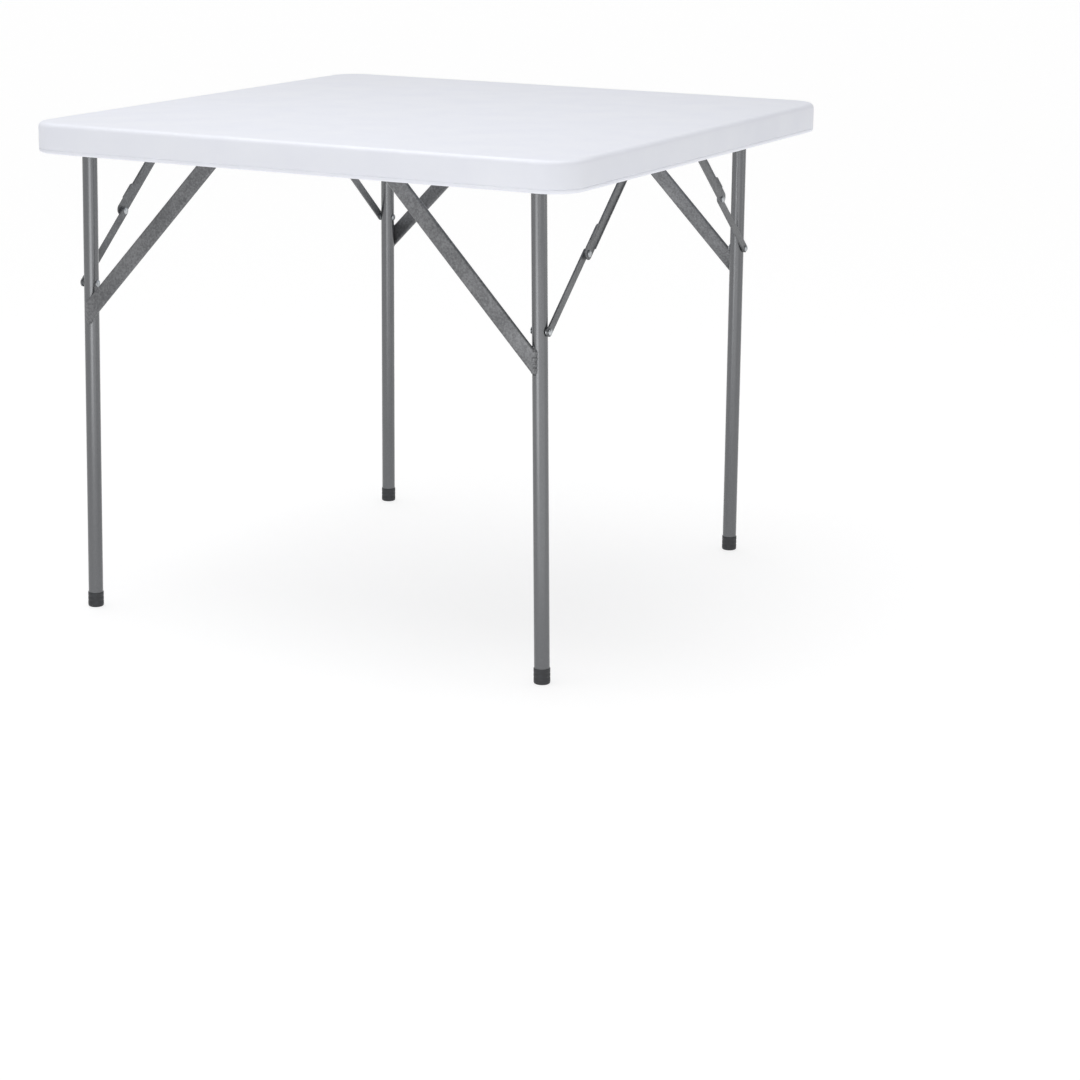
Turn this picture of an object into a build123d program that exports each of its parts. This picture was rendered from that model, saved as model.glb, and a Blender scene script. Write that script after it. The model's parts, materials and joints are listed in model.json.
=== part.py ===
from build123d import *
import math
import os

# Square folding table: a blow-moulded top with two steel leg frames that fold flat under it.
# Millimetres. The origin is on the floor under the middle of the top, with +Z up.
# +X runs along the cross tubes. The wide frame stands at the front, -Y, the narrow one at the back.

# Table top
top_side = 890.0
table_height = 740.0
top_corner_radius = 48.0
top_edge_radius = 8.0
rim_depth = 45.0
rim_width = 20.0
rim_edge_radius = 4.0
rim_inner_edge_radius = 2.0
well_depth = 28.0
wall_draft = 2.0

# Dimpled island in the middle of the underside
island_length = 650.0
island_drop = 9.0
island_side_clearance = 3.5
island_corner_radius = 16.0
island_draft = 10.0
dimple_width = 13.0
dimple_length = 17.0
dimple_depth = 12.0
dimple_draft = 10.0
dimple_pitch = 55.0
dimple_row_pitch = 23.5

# Pockets along the foot of the rim wall, with a second row inboard of them at the front and back
pocket_pitch = 44.5
pocket_length = 26.0
pocket_width = 18.0
pocket_depth = 8.0
pocket_draft = 12.0
pocket_wall_gap = 0.5
second_row_gap = 11.0
shallow_pocket_side = 18.0
shallow_pocket_depth = 2.5
shallow_row_share = 0.37

# Small core-pin holes between the wall pockets at the front and back, and along the island's ends
core_hole_diameter = 4.5
core_hole_depth = 8.0
core_hole_inset = 12.0

# Side rails
rail_width = 20.0
rail_thickness = 1.6
rail_bend_radius = 1.0
rail_wall_gap = 4.0
rail_end_gap = 7.0
rail_end_radius = 14.0
rail_recess = 1.0
rail_screw_diameter = 4.5
rail_screw_length = 13.0
rail_screw_head_diameter = 9.0
rail_screw_head_height = 2.6
driver_hole_diameter = 11.0

# Leg frames
leg_diameter = 22.0
leg_wall = 1.2
leg_top_drop = 4.0
cross_tube_diameter = 19.0
cross_tube_wall = 1.2
axle_inset = 57.0
front_leg_splay = 12.0
foot_wall = 1.45
foot_height = 25.0
foot_floor = 4.0
foot_chamfer = 1.5
fold_clearance = 1.5
crossing_clearance = 1.25

# Braces: flattened tube, lapped on the outer faces of the legs and cross tubes
brace_width = 25.0
brace_thickness = 6.5
brace_wall = 1.2
brace_saddle_depth = 2.25
brace_tube_trim = 3.0
front_brace_lap = 8.0
front_brace_drop = 251.0
front_brace_spread = 142.0
back_brace_lap = 19.0
back_brace_drop = 246.0
back_brace_spread = 86.0

# Axle pins and their bushes
axle_pin_diameter = 12.0
axle_pin_insertion = 22.0
axle_pin_overhang = 3.0
axle_pin_chamfer = 1.0
bush_wall = 1.4
bush_flange_width = 2.0
bush_flange_thickness = 1.5
bush_overhang = 1.5
axle_end_float = 0.3

# Folding stays
stay_drop = 206.0
stay_reach = 236.0
upper_link_width = 18.0
upper_link_thickness = 1.6
upper_link_depth = 5.5
upper_link_eye_length = 16.0
upper_link_lobe = 3.5
upper_link_lobe_length = 40.0
lower_link_width = 13.0
lower_link_thickness = 2.5
link_layer_gap = 0.4
stay_spacer_length = 4.4
rivet_diameter = 6.0
rivet_head_diameter = 10.0
rivet_head_height = 2.4
rivet_tail_height = 1.5

# Brackets that carry the back stays past the folded front legs
bracket_reach = 48.6
bracket_width = 29.0
bracket_thickness = 2.0
bracket_bend_radius = 1.0
bracket_tab_length = 16.0
bracket_ear_radius = 11.0
bracket_rivet_diameter = 5.0
bracket_rivet_head_diameter = 8.0
bracket_rivet_head_height = 1.6
bracket_rivet_spacing = 16.0

# Fits and cutting
running_clearance = 0.08
press_clearance = 0.05
head_clearance = 0.1
cut_overrun = 5.0

# Levels and places that follow from the sizes above
rim_z = table_height - rim_depth
lane_z = rim_z + well_depth
island_z = lane_z - island_drop
well_half = top_side / 2 - rim_width
lane_half = well_half - well_depth * math.tan(math.radians(wall_draft))
rail_web_x = lane_half - rail_wall_gap - rail_width
rail_half_length = lane_half - rail_end_gap
rail_height = well_depth - rail_recess
axle_y = top_side / 2 - axle_inset

leg_radius = leg_diameter / 2
cross_tube_radius = cross_tube_diameter / 2
foot_radius = leg_radius + press_clearance + foot_wall
rivet_radius = rivet_diameter / 2
rivet_head_radius = rivet_head_diameter / 2
pressed_hole_radius = rivet_radius + press_clearance
pivot_hole_radius = rivet_radius + running_clearance
brace_inner_offset = leg_radius - brace_saddle_depth
brace_offset = brace_inner_offset + brace_thickness / 2
back_axle_z = lane_z - foot_radius - fold_clearance
front_axle_z = back_axle_z - leg_radius - crossing_clearance + brace_inner_offset

# Thickness of a stay, counted outboard from the leg's surface
lower_link_face = rivet_tail_height + link_layer_gap
lower_link_back = lower_link_face + lower_link_thickness
upper_link_face = lower_link_back + head_clearance + rivet_head_height + link_layer_gap
upper_link_back = upper_link_face + upper_link_thickness
stay_stack = upper_link_back + head_clearance + stay_spacer_length

# A stay is straight when the legs stand. Folded, its links lie in line over the leg.
stay_length = math.hypot(stay_drop, stay_reach)
knee_inset = (stay_drop + stay_reach - stay_length) / 2
upper_link_length = stay_reach - knee_inset
lower_link_length = stay_drop - knee_inset

bracket_ear_x = rail_web_x - bracket_reach
front_pivot_x = rail_web_x - stay_stack - leg_radius
back_leg_x = bracket_ear_x - stay_stack - leg_radius
front_leg_x = front_pivot_x - front_leg_splay * stay_drop / front_axle_z
island_width = 2 * (back_leg_x - foot_radius - island_side_clearance)

sides = {"left": -1, "right": 1}
frames = {
    "front": {
        "sign": -1,
        "axle_z": front_axle_z,
        "leg_x": front_leg_x,
        "splay": front_leg_splay,
        "brace_lap": front_brace_lap,
        "brace_drop": front_brace_drop,
        "brace_spread": front_brace_spread,
        "stay_seat_x": rail_web_x,
        "seat_thickness": rail_thickness,
    },
    "back": {
        "sign": 1,
        "axle_z": back_axle_z,
        "leg_x": back_leg_x,
        "splay": 0,
        "brace_lap": back_brace_lap,
        "brace_drop": back_brace_drop,
        "brace_spread": back_brace_spread,
        "stay_seat_x": bracket_ear_x,
        "seat_thickness": bracket_thickness,
    },
}

os.makedirs("parts", exist_ok=True)


def write(piece, name):
    piece.part.label = name
    export_step(piece.part, f"parts/{name}.step")


def leg_x_at(frame, drop):
    # Distance of a leg's axis from the middle of the table, at a drop below the axle
    return frame["leg_x"] + frame["splay"] * drop / frame["axle_z"]


def leg_direction(frame, side):
    # Up along a leg's axis, from the foot to the axle
    return Vector(-side * frame["splay"], 0, frame["axle_z"]).normalized()


def turning_plane(x, y, z, side):
    # For pieces turned about an axis along X: local X is the radius, local Y points outboard
    return Plane(origin=(side * x, y, z), x_dir=(0, 0, 1), z_dir=(0, side, 0))


def stay_x(frame, distance):
    # Place in X of a layer of the stay, counted outboard from the leg's surface at the stay's pivot
    return frame["stay_seat_x"] - stay_stack + distance


# The stay's two ends and its knee in the plane of Y and Z, with the legs standing
def stay_leg_end(frame):
    return Vector(0, frame["sign"] * axle_y, frame["axle_z"] - stay_drop)


def stay_seat_end(frame):
    return Vector(0, frame["sign"] * (axle_y - stay_reach), frame["axle_z"])


def stay_knee(frame):
    seat_end = stay_seat_end(frame)
    return seat_end + (stay_leg_end(frame) - seat_end) * (upper_link_length / stay_length)


# Table top: a block with a drafted well, an island that stands down from it, and tack-off hollows
dimple_columns = int((island_width - dimple_width) / dimple_pitch) + 1
dimple_rows = int((island_length - dimple_length) / (2 * dimple_row_pitch)) + 1
pocket_count = 2 * int((lane_half - top_corner_radius) / pocket_pitch) + 1
pocket_offset = lane_half - pocket_wall_gap - pocket_width / 2
second_row_offset = pocket_offset - pocket_width - second_row_gap
shallow_row_offset = (
    island_length / 2 + (second_row_offset - island_length / 2) * shallow_row_share
)
screw_count = 4
screw_pitch = 5 * pocket_pitch
rail_middle_x = rail_web_x + rail_width / 2

with BuildPart() as table_top:
    with BuildSketch(Plane.XY.offset(rim_z)):
        RectangleRounded(top_side, top_side, top_corner_radius)
    extrude(amount=rim_depth)
    fillet(table_top.edges().group_by(Axis.Z)[-1], top_edge_radius)
    fillet(table_top.edges().group_by(Axis.Z)[0], rim_edge_radius)
    with BuildSketch(Plane.XY.offset(rim_z)):
        RectangleRounded(2 * well_half, 2 * well_half, top_corner_radius - rim_width)
    extrude(amount=well_depth, taper=wall_draft, mode=Mode.SUBTRACT)
    well_mouth = table_top.edges().group_by(Axis.Z)[0].filter_by(
        lambda edge: max(abs(edge.center().X), abs(edge.center().Y)) < well_half + press_clearance
    )
    fillet(well_mouth, rim_inner_edge_radius)
    with BuildSketch(Plane(origin=(0, 0, lane_z), x_dir=(1, 0, 0), z_dir=(0, 0, -1))):
        RectangleRounded(island_width, island_length, island_corner_radius)
    extrude(amount=island_drop, taper=island_draft)
    with BuildSketch(Plane.XY.offset(island_z)):
        with GridLocations(dimple_pitch, 2 * dimple_row_pitch, dimple_columns, dimple_rows):
            Rectangle(dimple_width, dimple_length)
        with GridLocations(dimple_pitch, 2 * dimple_row_pitch, dimple_columns - 1, dimple_rows - 1):
            Rectangle(dimple_width, dimple_length)
    extrude(amount=dimple_depth, taper=dimple_draft, mode=Mode.SUBTRACT)
    with BuildSketch(Plane.XY.offset(lane_z)):
        with GridLocations(pocket_pitch, 2 * pocket_offset, pocket_count, 2):
            Rectangle(pocket_length, pocket_width)
        with GridLocations(2 * pocket_offset, pocket_pitch, 2, pocket_count):
            Rectangle(pocket_width, pocket_length)
        with GridLocations(pocket_pitch, 2 * second_row_offset, pocket_count - 1, 2):
            Rectangle(pocket_length, pocket_width)
    extrude(amount=pocket_depth, taper=pocket_draft, mode=Mode.SUBTRACT)
    with BuildSketch(Plane.XY.offset(lane_z)):
        with GridLocations(pocket_pitch, 2 * shallow_row_offset, pocket_count, 2):
            Rectangle(shallow_pocket_side, shallow_pocket_side)
    extrude(amount=shallow_pocket_depth, taper=pocket_draft, mode=Mode.SUBTRACT)
    with BuildSketch(Plane.XY.offset(lane_z)):
        with GridLocations(pocket_pitch, 2 * pocket_offset, pocket_count - 1, 2):
            Circle(core_hole_diameter / 2)
    extrude(amount=core_hole_depth, mode=Mode.SUBTRACT)
    with BuildSketch(Plane.XY.offset(island_z)):
        with GridLocations(dimple_pitch, island_length - 2 * core_hole_inset, dimple_columns - 1, 2):
            Circle(core_hole_diameter / 2)
    extrude(amount=core_hole_depth, mode=Mode.SUBTRACT)
    with BuildSketch(Plane.XY.offset(lane_z)):
        with GridLocations(2 * rail_middle_x, screw_pitch, 2, screw_count):
            Circle(rail_screw_diameter / 2 + press_clearance)
    extrude(amount=rail_screw_length - rail_thickness + press_clearance, mode=Mode.SUBTRACT)
write(table_top, "table_top")


# Side rails: channels open outboard, with their web towards the legs
def make_rail(name, side):
    with BuildPart() as rail:
        start = Plane(
            origin=(side * rail_web_x, side * rail_half_length, lane_z),
            x_dir=(side, 0, 0),
            z_dir=(0, -side, 0),
        )
        with BuildSketch(start) as profile:
            Rectangle(rail_width, rail_height, align=(Align.MIN, Align.MAX))
            with Locations((rail_thickness, -rail_thickness)):
                Rectangle(
                    rail_width,
                    rail_height - 2 * rail_thickness,
                    align=(Align.MIN, Align.MAX),
                    mode=Mode.SUBTRACT,
                )
            fillet(profile.vertices().group_by(Axis.X)[1], rail_bend_radius)
            fillet(profile.vertices().group_by(Axis.X)[0], rail_bend_radius + rail_thickness)
        extrude(amount=2 * rail_half_length)
        outer_corners = rail.edges().filter_by(Axis.Z).filter_by(
            lambda edge: abs(edge.center().X) > rail_web_x + rail_width - rail_thickness
        )
        fillet(outer_corners, rail_end_radius)
        with BuildSketch(Plane.YZ.offset(side * rail_web_x)):
            for frame in frames.values():
                with Locations((frame["sign"] * axle_y, frame["axle_z"])):
                    Circle(axle_pin_diameter / 2 + running_clearance + bush_wall + press_clearance)
            with Locations((stay_reach - axle_y, front_axle_z)):
                Circle(pressed_hole_radius)
            with Locations((axle_y - stay_reach, lane_z - bracket_tab_length / 2)):
                with GridLocations(bracket_rivet_spacing, 0, 2, 1):
                    Circle(bracket_rivet_diameter / 2 + press_clearance)
        extrude(amount=side * (rail_thickness + cut_overrun), mode=Mode.SUBTRACT)
        with BuildSketch(Plane.XY.offset(lane_z)):
            with Locations((side * rail_middle_x, 0)):
                with GridLocations(0, screw_pitch, 1, screw_count):
                    Circle(rail_screw_diameter / 2 + press_clearance)
        extrude(amount=-rail_height / 2, mode=Mode.SUBTRACT)
        with BuildSketch(Plane.XY.offset(lane_z - rail_height / 2)):
            with Locations((side * rail_middle_x, 0)):
                with GridLocations(0, screw_pitch, 1, screw_count):
                    Circle(driver_hole_diameter / 2)
        extrude(amount=-rail_height, mode=Mode.SUBTRACT)
    write(rail, name)


# Rail screws: pan heads under the rails' upper flanges, shanks up into the plastic
with BuildPart() as rail_screws:
    for side in sides.values():
        for index in range(screw_count):
            screw_y = (index - (screw_count - 1) / 2) * screw_pitch
            seat = Vector(side * rail_middle_x, screw_y, lane_z - rail_thickness)
            with BuildSketch(Plane(origin=seat, x_dir=(1, 0, 0), z_dir=(0, -1, 0))):
                with BuildLine():
                    Polyline(
                        (0, rail_screw_length),
                        (rail_screw_diameter / 2, rail_screw_length),
                        (rail_screw_diameter / 2, 0),
                        (rail_screw_head_diameter / 2, 0),
                        (rail_screw_head_diameter / 2, -rail_screw_head_height / 2),
                        (rail_screw_diameter / 2, -rail_screw_head_height),
                        (0, -rail_screw_head_height),
                        close=True,
                    )
                make_face()
            revolve(axis=Axis(seat, (0, 0, 1)))
write(rail_screws, "rail_screws")


# Axle bushes: flanged bushes in the rails' webs, in which the axle pins turn
with BuildPart() as axle_bushes:
    bore = axle_pin_diameter / 2 + running_clearance
    barrel = bore + bush_wall
    for frame in frames.values():
        for side in sides.values():
            seat = turning_plane(rail_web_x, frame["sign"] * axle_y, frame["axle_z"], side)
            with BuildSketch(seat):
                with BuildLine():
                    Polyline(
                        (bore, -bush_flange_thickness),
                        (barrel + bush_flange_width, -bush_flange_thickness),
                        (barrel + bush_flange_width, 0),
                        (barrel, 0),
                        (barrel, rail_thickness + bush_overhang),
                        (bore, rail_thickness + bush_overhang),
                        close=True,
                    )
                make_face()
            revolve(axis=Axis(seat.origin, seat.y_dir))
write(axle_bushes, "axle_bushes")


# Stay brackets: a strip along the top's underside, with a tab on the rail's web and an ear for the stay
def make_bracket(name, side):
    with BuildPart() as bracket:
        start = Plane(
            origin=(side * bracket_ear_x, side * (bracket_width / 2) + axle_y - stay_reach, lane_z),
            x_dir=(side, 0, 0),
            z_dir=(0, -side, 0),
        )
        ear_length = lane_z - back_axle_z + bracket_ear_radius
        with BuildSketch(start) as profile:
            Rectangle(bracket_reach, bracket_thickness, align=(Align.MIN, Align.MAX))
            Rectangle(bracket_thickness, ear_length, align=(Align.MIN, Align.MAX))
            with Locations((bracket_reach, 0)):
                Rectangle(bracket_thickness, bracket_tab_length, align=(Align.MAX, Align.MAX))
            inner_corners = profile.vertices().filter_by(
                lambda vertex: vertex.Y == -bracket_thickness
            )
            fillet(inner_corners, bracket_bend_radius)
            fillet(profile.vertices().group_by(Axis.Y)[-1], bracket_bend_radius + bracket_thickness)
        extrude(amount=bracket_width)
        ear_corners = bracket.edges().filter_by(Axis.X).group_by(Axis.Z)[0]
        fillet(ear_corners, bracket_ear_radius)
        with BuildSketch(Plane.YZ.offset(side * bracket_ear_x)):
            with Locations((axle_y - stay_reach, back_axle_z)):
                Circle(pressed_hole_radius)
        extrude(amount=side * bracket_thickness, mode=Mode.SUBTRACT)
        with BuildSketch(Plane.YZ.offset(side * rail_web_x)):
            with Locations((axle_y - stay_reach, lane_z - bracket_tab_length / 2)):
                with GridLocations(bracket_rivet_spacing, 0, 2, 1):
                    Circle(bracket_rivet_diameter / 2 + press_clearance)
        extrude(amount=-side * bracket_thickness, mode=Mode.SUBTRACT)
    write(bracket, name)


# Bracket rivets: two through each bracket's tab and the rail's web
with BuildPart() as bracket_rivets:
    radius = bracket_rivet_diameter / 2
    head = bracket_rivet_head_diameter / 2
    height = bracket_rivet_head_height
    for side in sides.values():
        for shift in (-bracket_rivet_spacing / 2, bracket_rivet_spacing / 2):
            seat = turning_plane(
                rail_web_x, axle_y - stay_reach + shift, lane_z - bracket_tab_length / 2, side
            )
            with BuildSketch(seat):
                with BuildLine():
                    Polyline(
                        (0, -bracket_thickness - height),
                        (radius, -bracket_thickness - height),
                        (head, -bracket_thickness - height / 2),
                        (head, -bracket_thickness),
                        (radius, -bracket_thickness),
                        (radius, rail_thickness),
                        (head, rail_thickness),
                        (head, rail_thickness + height / 2),
                        (radius, rail_thickness + height),
                        (0, rail_thickness + height),
                        close=True,
                    )
                make_face()
            revolve(axis=Axis(seat.origin, seat.y_dir))
write(bracket_rivets, "bracket_rivets")


# Stay pivot rivets: each holds an upper link off the rail or bracket by its own shoulder
with BuildPart() as stay_pivot_rivets:
    for frame in frames.values():
        seat_end = stay_seat_end(frame)
        link_face = upper_link_face - stay_stack
        link_back = upper_link_back - stay_stack
        for side in sides.values():
            seat = turning_plane(frame["stay_seat_x"], seat_end.Y, seat_end.Z, side)
            with BuildSketch(seat):
                with BuildLine():
                    Polyline(
                        (0, link_face - head_clearance - rivet_head_height),
                        (rivet_radius, link_face - head_clearance - rivet_head_height),
                        (rivet_head_radius, link_face - head_clearance - rivet_head_height / 2),
                        (rivet_head_radius, link_face - head_clearance),
                        (rivet_radius, link_face - head_clearance),
                        (rivet_radius, link_back + head_clearance),
                        (rivet_head_radius, link_back + head_clearance),
                        (rivet_head_radius, 0),
                        (rivet_radius, 0),
                        (rivet_radius, frame["seat_thickness"]),
                        (rivet_head_radius, frame["seat_thickness"]),
                        (rivet_head_radius, frame["seat_thickness"] + rivet_tail_height),
                        (0, frame["seat_thickness"] + rivet_tail_height),
                        close=True,
                    )
                make_face()
            revolve(axis=Axis(seat.origin, seat.y_dir))
write(stay_pivot_rivets, "stay_pivot_rivets")


# Cross tubes
def make_cross_tube(name, frame):
    half_length = rail_web_x - bush_flange_thickness - axle_end_float
    with BuildPart() as tube:
        with BuildSketch(Plane.YZ.offset(-half_length)):
            with Locations((frame["sign"] * axle_y, frame["axle_z"])):
                Circle(cross_tube_radius)
                Circle(cross_tube_radius - cross_tube_wall, mode=Mode.SUBTRACT)
        extrude(amount=2 * half_length)
    write(tube, name)


# Axle pins: plugs welded into the cross tube's ends, turned down where they run in the bushes
def make_axle_pins(name, frame):
    plug = cross_tube_radius - cross_tube_wall - press_clearance
    journal = axle_pin_diameter / 2
    shoulder = -bush_flange_thickness - axle_end_float
    tip = rail_thickness + axle_pin_overhang
    with BuildPart() as pins:
        for side in sides.values():
            seat = turning_plane(rail_web_x, frame["sign"] * axle_y, frame["axle_z"], side)
            with BuildSketch(seat):
                with BuildLine():
                    Polyline(
                        (0, shoulder - axle_pin_insertion),
                        (plug, shoulder - axle_pin_insertion),
                        (plug, shoulder),
                        (journal, shoulder),
                        (journal, tip - axle_pin_chamfer),
                        (journal - axle_pin_chamfer, tip),
                        (0, tip),
                        close=True,
                    )
                make_face()
            revolve(axis=Axis(seat.origin, seat.y_dir))
    write(pins, name)


# Legs: tubes with a saddle cut round the cross tube, and a hole for the stay's rivet
def make_leg(name, frame, side):
    direction = leg_direction(frame, side)
    leg_y = frame["sign"] * axle_y
    foot_point = Vector(side * leg_x_at(frame, frame["axle_z"]), leg_y, 0)
    with BuildPart() as leg:
        with BuildSketch(Plane(origin=foot_point + direction * foot_floor, z_dir=direction)):
            Circle(leg_radius)
            Circle(leg_radius - leg_wall, mode=Mode.SUBTRACT)
        extrude(amount=frame["axle_z"])
        split(bisect_by=Plane.XY.offset(frame["axle_z"] - leg_top_drop), keep=Keep.BOTTOM)
        with BuildSketch(Plane.YZ.offset(side * frame["leg_x"])):
            with Locations((leg_y, frame["axle_z"])):
                Circle(cross_tube_radius + press_clearance)
        extrude(amount=leg_diameter, both=True, mode=Mode.SUBTRACT)
        with BuildSketch(Plane.YZ.offset(side * leg_x_at(frame, stay_drop))):
            with Locations((leg_y, frame["axle_z"] - stay_drop)):
                Circle(pressed_hole_radius)
        extrude(amount=leg_diameter, both=True, mode=Mode.SUBTRACT)
    write(leg, name)


# Foot caps: moulded caps pushed over the legs' ends, cut flat where they meet the floor
def make_foot(name, frame, side):
    direction = leg_direction(frame, side)
    foot_point = Vector(side * leg_x_at(frame, frame["axle_z"]), frame["sign"] * axle_y, 0)
    bore = leg_radius + press_clearance
    with BuildPart() as foot:
        section = Plane(origin=foot_point, x_dir=(0, 1, 0), z_dir=Vector(0, 1, 0).cross(direction))
        with BuildSketch(section):
            with BuildLine():
                Polyline(
                    (0, -foot_chamfer),
                    (foot_radius - foot_chamfer, -foot_chamfer),
                    (foot_radius - foot_chamfer, 0),
                    (foot_radius, foot_chamfer),
                    (foot_radius, foot_height - foot_wall / 2),
                    (foot_radius - foot_wall / 2, foot_height),
                    (bore, foot_height),
                    (bore, foot_floor),
                    (0, foot_floor),
                    close=True,
                )
            make_face()
        revolve(axis=Axis(foot_point, direction))
        split(bisect_by=Plane.XY, keep=Keep.TOP)
    write(foot, name)


# Braces: from the leg up to the cross tube, coped to both and trimmed along them
def make_brace(name, frame, side):
    outer_y = frame["sign"] * (axle_y + brace_offset)
    joint_x = leg_x_at(frame, frame["brace_drop"])
    lower = Vector(side * joint_x, outer_y, frame["axle_z"] - frame["brace_drop"])
    upper = Vector(side * frame["brace_spread"], outer_y, frame["axle_z"])
    direction = (upper - lower).normalized()
    start = lower - direction * leg_diameter
    with BuildPart() as brace:
        with BuildSketch(Plane(origin=start, x_dir=(0, 1, 0), z_dir=direction)):
            SlotOverall(brace_width, brace_thickness, rotation=90)
            SlotOverall(
                brace_width - 2 * brace_wall,
                brace_thickness - 2 * brace_wall,
                rotation=90,
                mode=Mode.SUBTRACT,
            )
        extrude(amount=(upper - lower).length + 2 * leg_diameter)
        lap_end = side * (joint_x - leg_radius + frame["brace_lap"])
        split(bisect_by=Plane(origin=(lap_end, 0, 0), z_dir=(side, 0, 0)), keep=Keep.BOTTOM)
        tube_trim = Plane.XY.offset(frame["axle_z"] + cross_tube_radius - brace_tube_trim)
        split(bisect_by=tube_trim, keep=Keep.BOTTOM)
        leg_foot = Vector(side * leg_x_at(frame, frame["axle_z"]), frame["sign"] * axle_y, 0)
        with BuildSketch(Plane(origin=leg_foot, z_dir=leg_direction(frame, side))):
            Circle(leg_radius + press_clearance)
        extrude(amount=frame["axle_z"], mode=Mode.SUBTRACT)
        with BuildSketch(Plane.YZ):
            with Locations((frame["sign"] * axle_y, frame["axle_z"])):
                Circle(cross_tube_radius + press_clearance)
        extrude(amount=side * rail_web_x, mode=Mode.SUBTRACT)
    write(brace, name)


# Leg rivets: through both walls of the leg, a spacer and the lower link's eye
def make_leg_rivets(name, frame):
    leg_end = stay_leg_end(frame)
    tail = -leg_diameter - head_clearance
    head = lower_link_back + head_clearance
    with BuildPart() as rivets:
        for side in sides.values():
            seat = turning_plane(stay_x(frame, 0), leg_end.Y, leg_end.Z, side)
            with BuildSketch(seat):
                with BuildLine():
                    Polyline(
                        (0, tail - rivet_head_height),
                        (rivet_radius, tail - rivet_head_height),
                        (rivet_head_radius, tail - rivet_head_height / 2),
                        (rivet_head_radius, tail),
                        (rivet_radius, tail),
                        (rivet_radius, head_clearance),
                        (rivet_head_radius, head_clearance),
                        (rivet_head_radius, lower_link_face - head_clearance),
                        (rivet_radius, lower_link_face - head_clearance),
                        (rivet_radius, head),
                        (rivet_head_radius, head),
                        (rivet_head_radius, head + rivet_head_height / 2),
                        (rivet_radius, head + rivet_head_height),
                        (0, head + rivet_head_height),
                        close=True,
                    )
                make_face()
            revolve(axis=Axis(seat.origin, seat.y_dir))
    write(rivets, name)


# Upper links: pressed channels with flat eyes, wider on the axle's side next to the knee
def make_upper_link(name, frame, side):
    seat_end = stay_seat_end(frame)
    origin = Vector(side * stay_x(frame, upper_link_face), seat_end.Y, seat_end.Z)
    plane = Plane(origin=origin, x_dir=stay_knee(frame) - seat_end, z_dir=(side, 0, 0))
    lobe_shift = side * frame["sign"] * upper_link_lobe
    lobe_middle = upper_link_length - upper_link_lobe_length / 2
    inner_width = upper_link_width - 2 * upper_link_thickness
    with BuildPart() as link:
        with BuildSketch(plane):
            with Locations((upper_link_length / 2, 0)):
                SlotCenterToCenter(upper_link_length, upper_link_width)
            with Locations((lobe_middle, lobe_shift)):
                SlotCenterToCenter(upper_link_lobe_length, upper_link_width)
            with Locations((0, 0)):
                Circle(pivot_hole_radius, mode=Mode.SUBTRACT)
            with Locations((upper_link_length, 0)):
                Circle(pressed_hole_radius, mode=Mode.SUBTRACT)
        extrude(amount=upper_link_thickness)
        with BuildSketch(plane):
            with Locations((upper_link_length / 2, 0)):
                SlotCenterToCenter(upper_link_length, upper_link_width)
            with Locations((lobe_middle, lobe_shift)):
                SlotCenterToCenter(upper_link_lobe_length, upper_link_width)
            with Locations((upper_link_length / 2, 0)):
                SlotCenterToCenter(upper_link_length, inner_width, mode=Mode.SUBTRACT)
            with Locations((lobe_middle, lobe_shift)):
                SlotCenterToCenter(upper_link_lobe_length, inner_width, mode=Mode.SUBTRACT)
            with Locations((upper_link_length / 2, 0)):
                Rectangle(
                    upper_link_length - 2 * upper_link_eye_length,
                    2 * upper_link_width,
                    mode=Mode.INTERSECT,
                )
        extrude(amount=upper_link_depth)
    write(link, name)


# Lower links: flat bars with round ends
def make_lower_link(name, frame, side):
    leg_end = stay_leg_end(frame)
    origin = Vector(side * stay_x(frame, lower_link_face), leg_end.Y, leg_end.Z)
    plane = Plane(origin=origin, x_dir=stay_knee(frame) - leg_end, z_dir=(side, 0, 0))
    with BuildPart() as link:
        with BuildSketch(plane):
            with Locations((lower_link_length / 2, 0)):
                SlotCenterToCenter(lower_link_length, lower_link_width)
            with Locations((0, 0)):
                Circle(pivot_hole_radius, mode=Mode.SUBTRACT)
            with Locations((lower_link_length, 0)):
                Circle(pressed_hole_radius, mode=Mode.SUBTRACT)
        extrude(amount=lower_link_thickness)
    write(link, name)


# Knee rivets, in two coaxial halves: the shouldered head sits in the upper link, the tail in the lower
def make_knee_head(name, frame, side):
    knee = stay_knee(frame)
    shoulder = lower_link_back + link_layer_gap - upper_link_face
    with BuildPart() as head:
        seat = turning_plane(stay_x(frame, upper_link_face), knee.Y, knee.Z, side)
        with BuildSketch(seat):
            with BuildLine():
                Polyline(
                    (0, shoulder),
                    (rivet_head_radius, shoulder),
                    (rivet_head_radius, 0),
                    (rivet_radius, 0),
                    (rivet_radius, upper_link_thickness),
                    (rivet_head_radius, upper_link_thickness),
                    (rivet_head_radius, upper_link_thickness + rivet_head_height / 2),
                    (rivet_radius, upper_link_thickness + rivet_head_height),
                    (0, upper_link_thickness + rivet_head_height),
                    close=True,
                )
            make_face()
        revolve(axis=Axis(seat.origin, seat.y_dir))
    write(head, name)


def make_knee_tail(name, frame, side):
    knee = stay_knee(frame)
    with BuildPart() as tail:
        seat = turning_plane(stay_x(frame, lower_link_face), knee.Y, knee.Z, side)
        with BuildSketch(seat):
            with BuildLine():
                Polyline(
                    (0, -rivet_tail_height),
                    (rivet_radius, -rivet_tail_height),
                    (rivet_head_radius, -rivet_tail_height / 2),
                    (rivet_head_radius, 0),
                    (rivet_radius, 0),
                    (rivet_radius, lower_link_thickness),
                    (0, lower_link_thickness),
                    close=True,
                )
            make_face()
        revolve(axis=Axis(seat.origin, seat.y_dir))
    write(tail, name)


for side_name, side in sides.items():
    make_rail(f"side_rail_{side_name}", side)
    make_bracket(f"stay_bracket_{side_name}", side)

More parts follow.
